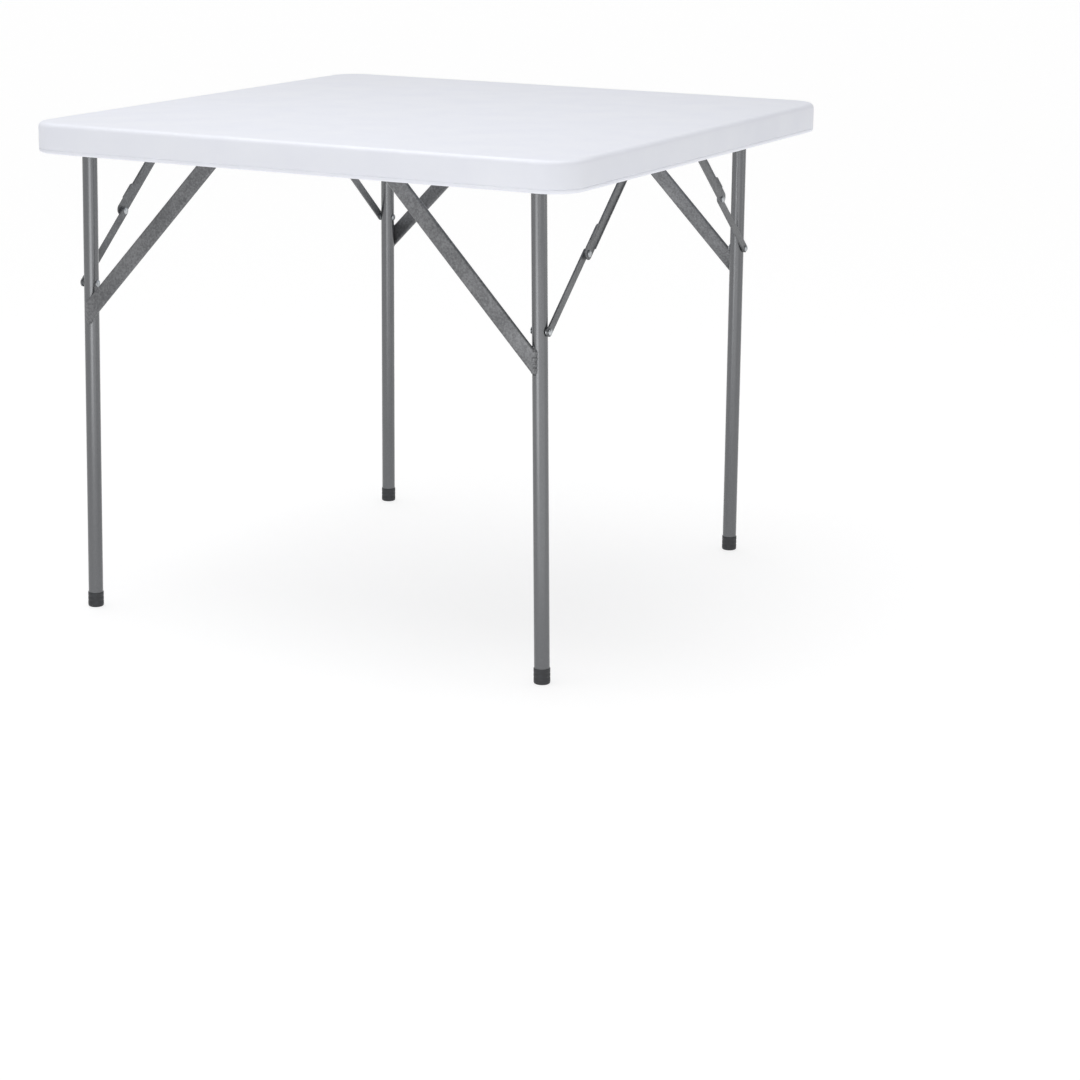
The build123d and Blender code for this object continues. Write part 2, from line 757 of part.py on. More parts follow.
for end_name, frame in frames.items():
    make_cross_tube(f"{end_name}_cross_tube", frame)
    make_axle_pins(f"{end_name}_axle_pins", frame)
    make_leg_rivets(f"{end_name}_leg_rivets", frame)
    for side_name, side in sides.items():
        make_leg(f"{end_name}_leg_{side_name}", frame, side)
        make_foot(f"{end_name}_foot_{side_name}", frame, side)
        make_brace(f"{end_name}_brace_{side_name}", frame, side)
        make_upper_link(f"{end_name}_upper_link_{side_name}", frame, side)
        make_lower_link(f"{end_name}_lower_link_{side_name}", frame, side)
        make_knee_head(f"{end_name}_knee_head_{side_name}", frame, side)
        make_knee_tail(f"{end_name}_knee_tail_{side_name}", frame, side)
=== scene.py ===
import bpy
import bmesh
import json
import math
from types import SimpleNamespace
from mathutils import Matrix, Vector


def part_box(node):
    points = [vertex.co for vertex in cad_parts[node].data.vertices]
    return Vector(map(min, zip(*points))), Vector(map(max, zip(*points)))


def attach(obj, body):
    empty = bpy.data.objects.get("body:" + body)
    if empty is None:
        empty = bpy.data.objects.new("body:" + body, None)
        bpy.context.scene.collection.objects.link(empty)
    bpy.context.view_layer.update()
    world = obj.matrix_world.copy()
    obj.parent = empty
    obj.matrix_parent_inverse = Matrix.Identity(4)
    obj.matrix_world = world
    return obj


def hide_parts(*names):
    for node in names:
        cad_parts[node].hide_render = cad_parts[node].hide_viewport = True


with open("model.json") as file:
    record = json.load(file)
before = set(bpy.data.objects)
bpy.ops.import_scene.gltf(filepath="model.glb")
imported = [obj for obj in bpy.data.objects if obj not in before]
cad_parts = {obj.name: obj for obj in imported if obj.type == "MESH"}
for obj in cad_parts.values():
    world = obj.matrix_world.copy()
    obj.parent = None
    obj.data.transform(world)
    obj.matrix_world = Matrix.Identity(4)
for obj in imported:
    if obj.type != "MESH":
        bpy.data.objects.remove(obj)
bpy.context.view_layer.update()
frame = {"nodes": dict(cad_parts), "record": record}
mm = 0.001
legPlaces = [(end, side) for end in ("front", "back") for side in ("left", "right")]


# Small helpers

# How much the corners of a level face may differ, how far it may lie from the height that is asked
# for, and how squarely a face has to look up or down to be picked
measure = {"levelSlack": 0.01 * mm, "heightSlack": 0.02 * mm, "squarely": 0.9}


def deselectAll():
    bpy.ops.object.select_all(action="DESELECT")


def makeActive(piece):
    deselectAll()
    piece.select_set(True)
    bpy.context.view_layer.objects.active = piece


def settle(piece):
    # place and size go into the mesh, so that the object stands at the origin
    makeActive(piece)
    bpy.ops.object.transform_apply(location=True, rotation=True, scale=True)


def applyModifiers(piece):
    makeActive(piece)
    for modifier in list(piece.modifiers):
        bpy.ops.object.modifier_apply(modifier=modifier.name)


def smoothByAngle(piece, degrees):
    makeActive(piece)
    bpy.ops.object.shade_smooth_by_angle(angle=math.radians(degrees))


def editing(piece, kind):
    makeActive(piece)
    bpy.ops.object.mode_set(mode="EDIT")
    bpy.ops.mesh.select_mode(type=kind)
    bpy.ops.mesh.select_all(action="DESELECT")
    return bmesh.from_edit_mesh(piece.data)


def pick(piece, kind, test):
    # selects the faces or edges that the test likes, and stays in edit mode
    shape = editing(piece, kind)
    found = shape.faces if kind == "FACE" else shape.edges
    for part in found:
        if test(part):
            part.select_set(True)
    bmesh.update_edit_mesh(piece.data)


def leaveEdit():
    bpy.ops.object.mode_set(mode="OBJECT")


def looksUp(face):
    return face.normal.z > measure["squarely"]


def looksDown(face):
    return face.normal.z < -measure["squarely"]


def levelOf(part):
    # the height of a face or edge that lies level, or None
    heights = [corner.co.z for corner in part.verts]
    if max(heights) - min(heights) > measure["levelSlack"]:
        return None
    return heights[0]


def lies(part, height):
    level = levelOf(part)
    return level is not None and abs(level - height) < measure["heightSlack"]


def addBlock(name, size, centre):
    deselectAll()
    bpy.ops.mesh.primitive_cube_add(size=1, location=centre)
    block = bpy.context.object
    block.name = name
    block.data.name = name
    block.scale = size
    settle(block)
    return block


def extrudeAndScale(rise, share):
    # extrudes the picked face upwards and makes its new outline that share of the old one
    bpy.ops.mesh.extrude_region_move(TRANSFORM_OT_translate={"value": (0, 0, rise)})
    bpy.ops.transform.resize(value=(share, share, 1))


def roundUprights(piece, radius, segments):
    pick(piece, "EDGE", lambda edge: levelOf(edge) is None)
    bpy.ops.mesh.bevel(offset=radius, segments=segments, affect="EDGES")
    leaveEdit()


def roundLevelEdges(piece, height, radius, segments, test=lambda edge: True):
    pick(piece, "EDGE", lambda edge: lies(edge, height) and test(edge))
    bpy.ops.mesh.bevel(offset=radius, segments=segments, affect="EDGES")
    leaveEdit()


def combine(piece, tool, operation):
    # the tool piece is used up
    step = piece.modifiers.new("cut", "BOOLEAN")
    step.operation = operation
    step.object = tool
    step.solver = "MANIFOLD"
    applyModifiers(piece)
    bpy.data.objects.remove(tool)


def joinPieces(pieces):
    deselectAll()
    for piece in pieces:
        piece.select_set(True)
    bpy.context.view_layer.objects.active = pieces[0]
    bpy.ops.object.join()
    return pieces[0]


# Table top

# Radii, widths and depths of the panel and of the island in its well. The island's block reaches up
# into the plastic by islandSunk, and a side wall is told from a rounding by wallSlope.
topPanel = {
    "cornerRadius": 48 * mm,
    "topEdgeRadius": 8 * mm,
    "rimWidth": 20 * mm,
    "rimEdgeRadius": 4 * mm,
    "partingHeight": 5.5 * mm,
    "partingWidth": 1.2 * mm,
    "partingDepth": 0.5 * mm,
    "mouthEdgeRadius": 2 * mm,
    "wellDepth": 28 * mm,
    "wallDraft": 2,
    "wallSlope": 0.2,
    "floorFillet": 3 * mm,
    "islandLength": 650 * mm,
    "islandWidth": 622.04 * mm,
    "islandDrop": 9 * mm,
    "islandDraft": 10,
    "islandCornerRadius": 16 * mm,
    "islandEdgeRadius": 2.5 * mm,
    "islandSunk": 6 * mm,
    "smoothAngle": 38,
}
topSegments = {
    "corner": 12, "topEdge": 6, "rimEdge": 4, "mouthEdge": 3, "floorFillet": 3,
    "islandCorner": 8, "islandEdge": 3, "hollowCorner": 2,
}

# The tack-off hollows: size at the mouth, depth, and rows as pitch and count along X and Y
dimples = {
    "mouth": (13 * mm, 17 * mm), "depth": 12 * mm, "draft": 10, "corner": 4 * mm,
    "lip": 2 * mm, "floorRadius": 3 * mm, "pitch": 55 * mm, "rowPitch": 23.5 * mm,
    "columns": 12, "rows": 14,
}
pockets = {
    "mouth": (26 * mm, 18 * mm), "depth": 8 * mm, "draft": 12, "corner": 4 * mm,
    "lip": 2 * mm, "floorRadius": 2.5 * mm, "pitch": 44.5 * mm, "count": 17,
    "wallGap": 0.5 * mm, "secondRowGap": 11 * mm,
}
shallowPockets = {
    "mouth": (18 * mm, 18 * mm), "depth": 2.5 * mm, "draft": 12, "corner": 4 * mm,
    "lip": 1.5 * mm, "floorRadius": 1 * mm, "rowShare": 0.37,
}
coreHoles = {"diameter": 4.5 * mm, "depth": 8 * mm, "inset": 12 * mm, "sides": 12}

# A hollow's rounded lip is drawn by rings at these turns in degrees, and its tool stands this far out
hollowRings = {"lipTurns": (30, 65), "outside": 0.5 * mm}


def hollowTool(name, settings, turned=False):
    # a cutter for one hollow with its mouth at z 0: rounded lip, drafted wall, soft floor
    width, length = settings["mouth"]
    if turned:
        width, length = length, width
    lip, outside = settings["lip"], hollowRings["outside"]
    turns = [math.radians(turn) for turn in hollowRings["lipTurns"]]
    rings = [(lip * (1 - math.sin(turn)), lip * (1 - math.cos(turn))) for turn in turns]
    spread = rings[0][0] + (rings[0][1] + outside) / math.tan(turns[0])
    wallDepth = settings["depth"] - settings["floorRadius"]
    wall = wallDepth * math.tan(math.radians(settings["draft"]))
    rings = [(spread, -outside)] + rings
    rings.append((-wall, wallDepth))
    rings.append((-wall - settings["floorRadius"], settings["depth"]))
    tool = addBlock(name, (width + 2 * spread, length + 2 * spread, outside), (0, 0, -1.5 * outside))
    roundUprights(tool, settings["corner"] + spread, topSegments["hollowCorner"])
    pick(tool, "FACE", looksUp)
    for (before, start), (after, end) in zip(rings, rings[1:]):
        bpy.ops.mesh.inset(thickness=before - after, depth=end - start)
    leaveEdit()
    return tool


def spreadTool(tool, columns, rows, pitchX, pitchY, level):
    # copies a cutter over a grid about the table's middle, at that height
    for count, step in ((columns, (pitchX, 0, 0)), (rows, (0, pitchY, 0))):
        copies = tool.modifiers.new("copies", "ARRAY")
        copies.use_relative_offset = False
        copies.use_constant_offset = True
        copies.count = count
        copies.constant_offset_displace = step
    applyModifiers(tool)
    tool.location = (-(columns - 1) * pitchX / 2, -(rows - 1) * pitchY / 2, level)
    settle(tool)
    return tool


def makeRim(low, high, wallLean):
    # the panel's outside and its empty well
    side, depth = high[0] - low[0], high[2] - low[2]
    rimLevel, topLevel = low[2], high[2]
    laneLevel = rimLevel + topPanel["wellDepth"]

    # the mould's parting line runs round the rim as a fine groove, near its lower edge
    parting, width = topPanel["partingHeight"], topPanel["partingWidth"]
    narrow = 1 - 2 * topPanel["partingDepth"] / side
    middle = [(a + b) / 2 for a, b in zip(low, high)]
    panel = addBlock("topPanel", (side, side, parting), (middle[0], middle[1], rimLevel + parting / 2))
    roundUprights(panel, topPanel["cornerRadius"], topSegments["corner"])
    pick(panel, "FACE", looksUp)
    extrudeAndScale(width / 2, narrow)
    extrudeAndScale(width / 2, 1 / narrow)
    extrudeAndScale(depth - parting - width, 1)
    leaveEdit()
    roundLevelEdges(panel, topLevel, topPanel["topEdgeRadius"], topSegments["topEdge"])
    roundLevelEdges(panel, rimLevel, topPanel["rimEdgeRadius"], topSegments["rimEdge"])
    pick(panel, "FACE", lambda face: lies(face, rimLevel) and looksDown(face))
    bpy.ops.mesh.inset(thickness=topPanel["rimWidth"] - topPanel["rimEdgeRadius"])
    bpy.ops.mesh.inset(thickness=wallLean, depth=-topPanel["wellDepth"])
    leaveEdit()
    roundLevelEdges(
        panel, rimLevel, topPanel["mouthEdgeRadius"], topSegments["mouthEdge"],
        lambda edge: any(abs(face.normal.z) < topPanel["wallSlope"] for face in edge.link_faces),
    )
    roundLevelEdges(panel, laneLevel, topPanel["floorFillet"], topSegments["floorFillet"])
    return panel


def addIsland(panel, laneLevel, islandLevel):
    island = addBlock(
        "island",
        (topPanel["islandWidth"], topPanel["islandLength"], topPanel["islandSunk"]),
        (0, 0, laneLevel + topPanel["islandSunk"] / 2),
    )
    roundUprights(island, topPanel["islandCornerRadius"], topSegments["islandCorner"])
    pick(island, "FACE", lambda face: lies(face, laneLevel))
    islandLean = topPanel["islandDrop"] * math.tan(math.radians(topPanel["islandDraft"]))
    bpy.ops.mesh.inset(thickness=islandLean, depth=topPanel["islandDrop"])
    leaveEdit()
    roundLevelEdges(island, islandLevel, topPanel["islandEdgeRadius"], topSegments["islandEdge"])
    combine(panel, island, "UNION")


def cutHollows(panel, laneLevel, islandLevel, laneHalf):
    pitch, count = pockets["pitch"], pockets["count"]
    across = pockets["mouth"][1]
    wallRow = laneHalf - pockets["wallGap"] - across / 2
    secondRow = wallRow - across - pockets["secondRowGap"]
    islandEnd = topPanel["islandLength"] / 2
    shallowRow = islandEnd + (secondRow - islandEnd) * shallowPockets["rowShare"]

    # the dimples are two grids, and the second has one row and column less, so that they are staggered
    tools = []
    columns, rows, columnPitch = dimples["columns"], dimples["rows"], dimples["pitch"]
    for fewer in (0, 1):
        tool = hollowTool("dimpleTool", dimples)
        tools.append(spreadTool(
            tool, columns - fewer, rows - fewer, columnPitch, 2 * dimples["rowPitch"], islandLevel))
    tool = hollowTool("wallPocketTool", pockets)
    tools.append(spreadTool(tool, count, 2, pitch, 2 * wallRow, laneLevel))
    tool = hollowTool("sidePocketTool", pockets, turned=True)
    tools.append(spreadTool(tool, 2, count, 2 * wallRow, pitch, laneLevel))
    tool = hollowTool("secondRowTool", pockets)
    tools.append(spreadTool(tool, count - 1, 2, pitch, 2 * secondRow, laneLevel))
    tool = hollowTool("shallowTool", shallowPockets)
    tools.append(spreadTool(tool, count, 2, pitch, 2 * shallowRow, laneLevel))
    combine(panel, joinPieces(tools), "DIFFERENCE")

    holeRows = (
        (laneLevel, count - 1, pitch, 2 * wallRow),
        (islandLevel, columns - 1, columnPitch, 2 * (islandEnd - coreHoles["inset"])),
    )
    tools = []
    for level, holeCount, holePitch, gap in holeRows:
        deselectAll()
        bpy.ops.mesh.primitive_cylinder_add(
            vertices=coreHoles["sides"], radius=coreHoles["diameter"] / 2,
            depth=2 * coreHoles["depth"])
        tools.append(spreadTool(bpy.context.object, holeCount, 2, holePitch, gap, level))
    combine(panel, joinPieces(tools), "DIFFERENCE")


def makeTopPanel():
    low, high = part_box("table_top")
    laneLevel = low[2] + topPanel["wellDepth"]
    islandLevel = laneLevel - topPanel["islandDrop"]
    wallLean = topPanel["wellDepth"] * math.tan(math.radians(topPanel["wallDraft"]))
    laneHalf = (high[0] - low[0]) / 2 - topPanel["rimWidth"] - wallLean
    panel = makeRim(low, high, wallLean)
    addIsland(panel, laneLevel, islandLevel)
    cutHollows(panel, laneLevel, islandLevel, laneHalf)
    smoothByAngle(panel, topPanel["smoothAngle"])
    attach(panel, "top_assembly")
    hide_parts("table_top")
    return panel


panel = makeTopPanel()
print("table top made:", len(panel.data.polygons), "faces")


# Foot caps

# The profile goes up the cap's outside. Each ring is given as how far it lies inside the CAD cap's
# radius, and its height.
footCap = {
    "bore": 11.05 * mm, "floor": 4 * mm, "height": 22.8 * mm, "sides": 40, "baseInset": 2.2 * mm,
    "profile": [
        (1.1 * mm, 0.8 * mm), (0.7 * mm, 2.2 * mm), (0.7 * mm, 8.2 * mm), (1.0 * mm, 8.7 * mm),
        (1.0 * mm, 9.9 * mm), (0.7 * mm, 10.4 * mm), (0.7 * mm, 14.6 * mm), (1.0 * mm, 15.1 * mm),
        (1.0 * mm, 16.3 * mm), (0.7 * mm, 16.8 * mm), (0.7 * mm, 22.0 * mm), (1.0 * mm, 22.6 * mm),
    ],
    "smoothAngle": 40,
}


def readLeg(end, side):
    # a leg's box, radius and lean: a front leg leans outwards, so its box is wider than the tube
    low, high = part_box(f"{end}_leg_{side}")
    radius = (high[1] - low[1]) / 2
    lean = (high[0] - low[0] - 2 * radius) / (high[2] - low[2])
    return low, high, radius, lean


def makeFootCap(end, side):
    node = f"{end}_foot_{side}"
    low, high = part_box(node)
    _, _, _, lean = readLeg(end, side)
    outward = 1 if side == "right" else -1
    radius = (high[1] - low[1]) / 2
    footX = high[0] - radius if side == "right" else low[0] + radius
    footY = (low[1] + high[1]) / 2
    height = footCap["height"]
    before = radius - footCap["baseInset"]

    # the first slice hangs below the floor, so that the leaning cap can be cut off level
    hanging = footCap["profile"][0][1]
    deselectAll()
    bpy.ops.mesh.primitive_cylinder_add(
        vertices=footCap["sides"], radius=before, depth=hanging, location=(0, 0, -hanging / 2))
    cap = bpy.context.object
    cap.name = node + "Cap"
    settle(cap)
    pick(cap, "FACE", looksUp)
    level = 0
    for inset, rise in footCap["profile"]:
        after = radius - inset
        extrudeAndScale(rise - level, after / before)
        before, level = after, rise
    bpy.ops.mesh.inset(thickness=before - footCap["bore"], depth=height - level)
    bpy.ops.mesh.extrude_region_move(
        TRANSFORM_OT_translate={"value": (0, 0, footCap["floor"] - height)})
    leaveEdit()
    cap.rotation_euler = (0, outward * -math.atan(lean), 0)
    cap.location = (footX, footY, 0)
    settle(cap)
    under = addBlock("under", (4 * radius, 4 * radius, height), (footX, footY, -height / 2))
    combine(cap, under, "DIFFERENCE")
    smoothByAngle(cap, footCap["smoothAngle"])
    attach(cap, f"{end}_frame")
    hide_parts(node)
    return cap


caps = [makeFootCap(end, side) for end, side in legPlaces]
print("foot caps made:", len(caps))


# Stays, braces and welds

# The stays' upper links have low lips in the photograph, so the CAD channel is cut down to this depth
upperLink = {"depth": 3.0 * mm}
cutPiece = {"mergeDistance": 0.01 * mm, "smoothAngle": 30}

# Where the braces lie: how far their middle and faces stand in front of the frame's plane, how far
# below the cross tube's top they end, the drop and spread of their middle line, and their lap over
# the legs
brace = {
    "width": 25 * mm, "middle": 12.0 * mm, "inner": 8.75 * mm, "outer": 15.25 * mm, "tubeTrim": 3 * mm,
    "front": {"drop": 251 * mm, "spread": 142 * mm, "lap": 8 * mm},
    "back": {"drop": 246 * mm, "spread": 86 * mm, "lap": 13 * mm},
}

# A weld is a chain of drops that overlap, as a bead does: a seam along the brace's edges, a fillet
# across its end, a fill in its open end, and a saddle where leg and cross tube meet. The drops'
# sizes swing by the share uneven, and unevenTurn is that swing's step in radians.
weld = {
    "filletSetBack": 0.6 * mm, "filletSunk": 0.5 * mm, "filletInset": 3.6 * mm,
    "fillRadius": 2.45 * mm, "fillSunk": 1.7 * mm, "seamRadius": 1.6 * mm, "lift": 0.2 * mm,
    "step": 2.9 * mm, "uneven": 0.1, "unevenTurn": 2.4, "segments": 10, "rings": 8,
    "saddleTurn": 50, "saddleStep": 10,
}


def readJoint(end, side):
    # sizes and places of one brace's two joints, all for the right side and without a sign
    joint = SimpleNamespace()
    tubeLow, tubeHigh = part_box(f"{end}_cross_tube")
    legLow, legHigh, joint.legRadius, lean = readLeg(end, side)
    joint.facing = -1 if end == "front" else 1
    joint.outward = -1 if side == "left" else 1
    joint.axleY = (tubeLow[1] + tubeHigh[1]) / 2
    joint.axleZ = (tubeLow[2] + tubeHigh[2]) / 2
    joint.tubeRadius = (tubeHigh[2] - tubeLow[2]) / 2
    joint.legTop = min(abs(legLow[0]), abs(legHigh[0])) + joint.legRadius
    sizes = brace[end]
    joint.middle = Vector((joint.legTop + lean * sizes["drop"], joint.axleZ - sizes["drop"]))
    joint.along = (Vector((sizes["spread"], joint.axleZ)) - joint.middle).normalized()
    joint.lapEnd = joint.middle.x - joint.legRadius + sizes["lap"]
    joint.tubeEnd = joint.axleZ + joint.tubeRadius - brace["tubeTrim"]
    return joint


def cutCopy(node, body, size, centre):
    # a copy of a CAD piece with a block of that size taken off it
    source = frame["nodes"][node]
    piece = source.copy()
    piece.data = source.data.copy()
    piece.name = node + "Cut"
    bpy.context.scene.collection.objects.link(piece)
    editing(piece, "VERT")
    bpy.ops.mesh.select_all(action="SELECT")
    bpy.ops.mesh.remove_doubles(threshold=cutPiece["mergeDistance"])
    leaveEdit()
    combine(piece, addBlock("taken", size, centre), "DIFFERENCE")
    smoothByAngle(piece, cutPiece["smoothAngle"])
    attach(piece, body)
    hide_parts(node)
    return piece


def makeUpperLink(end, side):
    # the block that is taken off starts where the lips are to end, and covers all beyond
    node = f"{end}_upper_link_{side}"
    low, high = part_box(node)
    reach = high[2] - low[2]
    if side == "right":
        blockX = low[0] + upperLink["depth"] + reach / 2
    else:
        blockX = high[0] - upperLink["depth"] - reach / 2
    centre = (blockX, (low[1] + high[1]) / 2, (low[2] + high[2]) / 2)
    return cutCopy(
        node, f"{end}_upper_stay_{side}", (reach, 2 * reach, 2 * reach), centre)


def makeShortBrace(side):
    # the back brace, cut where the weld ends it on its leg, so that it stays behind the leg
    joint = readJoint("back", side)
    reach = 4 * joint.legRadius
    centre = (joint.outward * (joint.lapEnd + reach / 2), joint.axleY, joint.middle.y)
    return cutCopy(
        f"back_brace_{side}", "back_frame", (reach, 2 * reach, 3 * reach), centre)


def addDrops(points, radius, drops):
    # drops of slightly unlike size along a line of corner points
    for start, stop in zip(points, points[1:]):
        count = max(1, round((stop - start).length / weld["step"]))
        for i in range(count + 1):
            swell = 1 + weld["uneven"] * math.sin(weld["unevenTurn"] * len(drops))
            drops.append((start.lerp(stop, i / count), radius * swell))


def endCorners(joint, axis, first, second, narrower=0):
    # where the brace's two edges cross two parallel lines, as a path round its end
    across = Vector((-joint.along.y, joint.along.x)) * (brace["width"] / 2 - narrower)
    corners = []
    for edge, value in ((across, first), (across, second), (-across, second), (-across, first)):
        start = joint.middle + edge
        corners.append(start + joint.along * (value - start[axis]) / joint.along[axis])
    return corners


def placeDrops(joint, corners, depthAt, radius, drops):
    # from the flat path of X and Z to drops in space, at a depth in front of the frame's plane
    flat = []
    addDrops([Vector((corner.x, 0, corner.y)) for corner in corners], radius, flat)
    for spot, size in flat:
        depth = joint.facing * depthAt(spot)
        drops.append((Vector((joint.outward * spot.x, joint.axleY + depth, spot.z)), size))


def surfaceDepth(radius, aside):
    # how far a tube's surface stands in front of its axis, that far to the side of it
    return math.sqrt(max(radius ** 2 - aside ** 2, 0)) + weld["lift"]


def weldToLeg(joint, drops):
    def legDepth(spot):
        return surfaceDepth(joint.legRadius, spot.x - joint.middle.x)

    def filletDepth(spot):
        return legDepth(spot) - weld["filletSunk"]

    chord = math.sqrt(joint.legRadius ** 2 - brace["inner"] ** 2)
    seam = endCorners(joint, 0, joint.middle.x - chord, joint.lapEnd)
    placeDrops(joint, seam[:2], legDepth, weld["seamRadius"], drops)
    placeDrops(joint, seam[2:], legDepth, weld["seamRadius"], drops)
    filletX = joint.lapEnd - weld["filletSetBack"]
    fillet = endCorners(joint, 0, 0, filletX, weld["filletInset"])[1:3]
    rise = brace["outer"] - filletDepth(Vector((filletX, 0, 0)))
    placeDrops(joint, fillet, filletDepth, math.hypot(weld["filletSetBack"], rise), drops)


def weldToTube(joint, drops):
    def tubeDepth(spot):
        return surfaceDepth(joint.tubeRadius, spot.z - joint.axleZ)

    def fillDepth(spot):
        return brace["middle"]

    seam = endCorners(joint, 1, joint.axleZ, joint.tubeEnd)
    placeDrops(joint, seam, tubeDepth, weld["seamRadius"], drops)
    fill = endCorners(joint, 1, 0, joint.tubeEnd - weld["fillSunk"], weld["fillRadius"])
    placeDrops(joint, fill[1:3], fillDepth, weld["fillRadius"], drops)


def weldLegTop(joint, drops):
    for flank in (-1, 1):
        arc = []
        for turn in range(-weld["saddleTurn"], weld["saddleTurn"] + 1, weld["saddleStep"]):
            y = joint.legRadius * math.sin(math.radians(turn))
            x = joint.legTop + flank * joint.legRadius * math.cos(math.radians(turn))
            z = joint.axleZ - math.sqrt(joint.tubeRadius ** 2 - y ** 2)
            arc.append(Vector((joint.outward * x, joint.axleY + y, z)))
        addDrops(arc, weld["seamRadius"], drops)


def makeWelds(end):
    drops = []
    for side in ("left", "right"):
        joint = readJoint(end, side)
        weldToLeg(joint, drops)
        weldToTube(joint, drops)
        weldLegTop(joint, drops)
    deselectAll()
    bpy.ops.mesh.primitive_uv_sphere_add(
        segments=weld["segments"], ring_count=weld["rings"], radius=1)
    pattern = bpy.context.object
    copies = []
    for place, radius in drops:
        drop = pattern.copy()
        drop.data = pattern.data.copy()
        drop.location = place
        drop.scale = (radius, radius, radius)
        bpy.context.scene.collection.objects.link(drop)
        copies.append(drop)
    bpy.data.objects.remove(pattern)
    beads = joinPieces(copies)
    beads.name = end + "Welds"
    settle(beads)
    bpy.ops.object.shade_smooth()
    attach(beads, f"{end}_frame")
    return beads


upperLinks = [makeUpperLink(end, side) for end, side in legPlaces]
braceTubes = [makeShortBrace(side) for side in ("left", "right")]
welds = [makeWelds(end) for end in ("front", "back")]
print("welds made:", sum(len(piece.data.polygons) for piece in welds), "faces")


# Finishes

def linear(hexColour):
    # sRGB hex to the linear values that the shader sockets take
    parts = [int(hexColour[i:i + 2], 16) / 255 for i in (1, 3, 5)]
    return [c / 12.92 if c <= 0.04045 else ((c + 0.055) / 1.055) ** 2.4 for c in parts] + [1.0]


def addNode(tree, kind, settings, links=None):
    node = tree.nodes.new(kind)
    for name, value in settings.items():
        if isinstance(name, int) or name in node.inputs:
            node.inputs[name].default_value = value
        else:
            setattr(node, name, value)
    for name, source in (links or {}).items():
        tree.links.new(source, node.inputs[name])
    return node


def newFinish(name, shaderSettings):
    finish = bpy.data.materials.new(name)
    finish.use_nodes = True
    tree = finish.node_tree
    tree.nodes.clear()
    place = addNode(tree, "ShaderNodeTexCoord", {}).outputs["Object"]
    shader = addNode(tree, "ShaderNodeBsdfPrincipled", shaderSettings)
    addNode(tree, "ShaderNodeOutputMaterial", {}, {"Surface": shader.outputs[0]})
    return finish, tree, place, shader


def grain(tree, place, sizeMm, detail=3.0, roughness=0.5):
    # noise whose patches are about that many millimetres across
    return addNode(
        tree, "ShaderNodeTexNoise",
        {"Scale": 1000 / sizeMm, "Detail": detail, "Roughness": roughness}, {"Vector": place},
    ).outputs["Fac"]


def between(tree, factor, low, high, start=0.3, end=0.7):
    # noise lies mostly between 0.3 and 0.7, so that span is drawn out from low to high
    return addNode(
        tree, "ShaderNodeMapRange",
        {"From Min": start, "From Max": end, "To Min": low, "To Max": high}, {"Value": factor},
    ).outputs["Result"]


def twoColours(tree, factor, first, second):
    # factor 0 gives the first colour and 1 the second
    return addNode(
        tree, "ShaderNodeMix", {"data_type": "RGBA", 6: linear(first), 7: linear(second)},
        {"Factor": factor},
    ).outputs[2]


def bump(tree, height, strength, depthMm, below=None):
    links = {"Height": height}
    if below is not None:
        links["Normal"] = below
    return addNode(
        tree, "ShaderNodeBump", {"Strength": strength, "Distance": depthMm * mm}, links,
    ).outputs["Normal"]


# White high-density polyethylene, blow moulded in a grained tool: cool, waxy white, satin, with a
# fine pebble grain. The real grain is under 1 mm, drawn at 2.2 mm so that it shows. Each bump is
# its strength and its depth in millimetres.
hdpe = {
    "base": "#ECEEF5", "shade": "#E9EBF3", "roughness": (0.44, 0.54), "ior": 1.54,
    "grainMm": 2.2, "grainBump": (0.35, 0.15), "waveMm": 90, "waveBump": (0.1, 0.5), "cloudMm": 60,
}


def makeHdpe():
    finish, tree, place, shader = newFinish("blowMouldedHdpe", {"IOR": hdpe["ior"]})
    clouds = grain(tree, place, hdpe["cloudMm"])
    fine = grain(tree, place, hdpe["grainMm"], detail=2.0)
    tree.links.new(
        twoColours(tree, between(tree, clouds, 0, 1), hdpe["base"], hdpe["shade"]),
        shader.inputs["Base Color"])
    tree.links.new(between(tree, clouds, *hdpe["roughness"]), shader.inputs["Roughness"])
    wave = bump(tree, grain(tree, place, hdpe["waveMm"], detail=1.0), *hdpe["waveBump"])
    tree.links.new(bump(tree, fine, *hdpe["grainBump"], wave), shader.inputs["Normal"])
    return finish


# Polyester powder coat over mild steel tube: satin grey with a little metal flake and orange peel.
# Orange peel is about 1.5 mm and flake far finer, both drawn at 3 mm so that they show. The drawn
# tubes of the legs are nearly smooth, the flattened braces and the pressed stays mottled.
powderCoat = {
    "leg": {
        "base": "#707173", "shade": "#6C6D6F", "roughness": (0.24, 0.26), "metal": 0.75,
        "peelBump": (0.05, 0.12),
    },
    "frame": {
        "base": "#7D7E80", "shade": "#5A5B5D", "roughness": (0.30, 0.40), "metal": 0.45,
        "peelBump": (0.3, 0.12),
    },
    "stay": {
        "base": "#787A7C", "shade": "#58595B", "roughness": (0.34, 0.46), "metal": 0.45,
        "peelBump": (0.3, 0.12),
    },
    "peelMm": 3.0, "flakeMm": 3.0, "flakeShare": 0.85, "driftMm": 60, "driftShare": 0.15,
    "mottleSpan": (0.35, 0.65),
}


